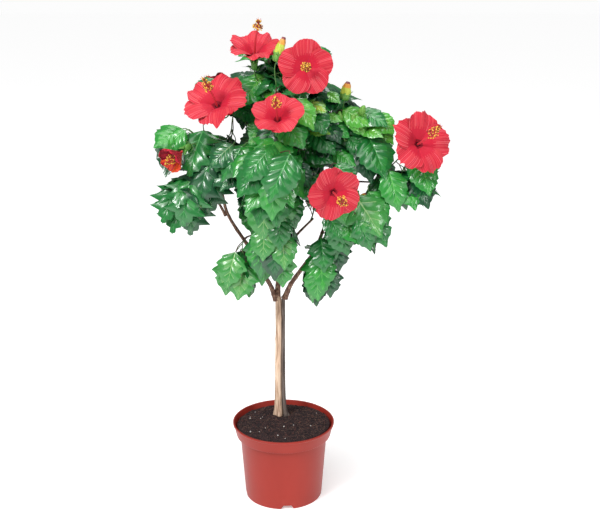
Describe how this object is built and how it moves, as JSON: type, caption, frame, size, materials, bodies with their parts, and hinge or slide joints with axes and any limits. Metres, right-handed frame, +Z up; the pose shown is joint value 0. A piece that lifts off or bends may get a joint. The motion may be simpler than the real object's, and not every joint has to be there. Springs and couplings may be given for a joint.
{
  "type": "potted hibiscus tree",
  "caption": "Hibiscus grown as a small tree on a slender trunk, with an open crown of lobed leaves and large red blooms, in a round red plastic nursery pot.",
  "frame": {"origin": "middle of the pot's flat underside", "axes": "+Z up along the trunk, the crown's front, with most of its open blooms, towards -Y, +X to the right as seen from the front"},
  "size_m": [0.509, 0.384, 0.896],
  "materials": {
    "pot_plastic": "satin",
    "compost": "matte",
    "trunk_bark": "matte",
    "grey_bark": "matte",
    "young_bark": "matte",
    "leaf": "satin",
    "petal": "matte"
  },
  "bodies": {
    "root": {"pot": "pot_plastic", "pot_floor": "pot_plastic", "compost": "compost", "trunk": "trunk_bark", "second_stem": "grey_bark", "left_bough": "young_bark", "centre_bough": "young_bark", "right_bough": "young_bark", "left_outer_bough": "young_bark", "right_upper_bough": "young_bark", "right_outer_bough": "young_bark", "back_left_bough": "young_bark", "back_right_bough": "young_bark", "back_bough": "young_bark", "upper_left_bough": "young_bark", "upper_right_bough": "young_bark", "front_bough": "young_bark", "crown_tip": "petal", "top_right_bloom": "petal", "upper_left_bloom": "petal", "upper_front_bloom": "petal", "far_right_bloom": "petal", "low_front_bloom": "petal", "top_left_leaves": "leaf", "upper_right_leaves": "leaf", "left_tip": "leaf", "left_leaves": "leaf", "left_hanging_leaves": "leaf", "front_leaves": "leaf", "bud_spray": "leaf", "right_leaves": "leaf", "right_upper_leaves": "leaf", "right_hanging_leaves": "leaf", "lower_right_leaves": "leaf", "lower_front_leaves": "leaf", "lower_left_leaves": "leaf", "low_hanging_leaves": "leaf", "back_top_leaves": "leaf", "back_upper_left_leaves": "leaf", "back_upper_right_leaves": "leaf", "back_leaves": "leaf", "back_left_leaves": "leaf", "back_right_leaves": "leaf", "back_low_left_leaves": "leaf", "back_low_right_leaves": "leaf"}
  },
  "joints": []
}
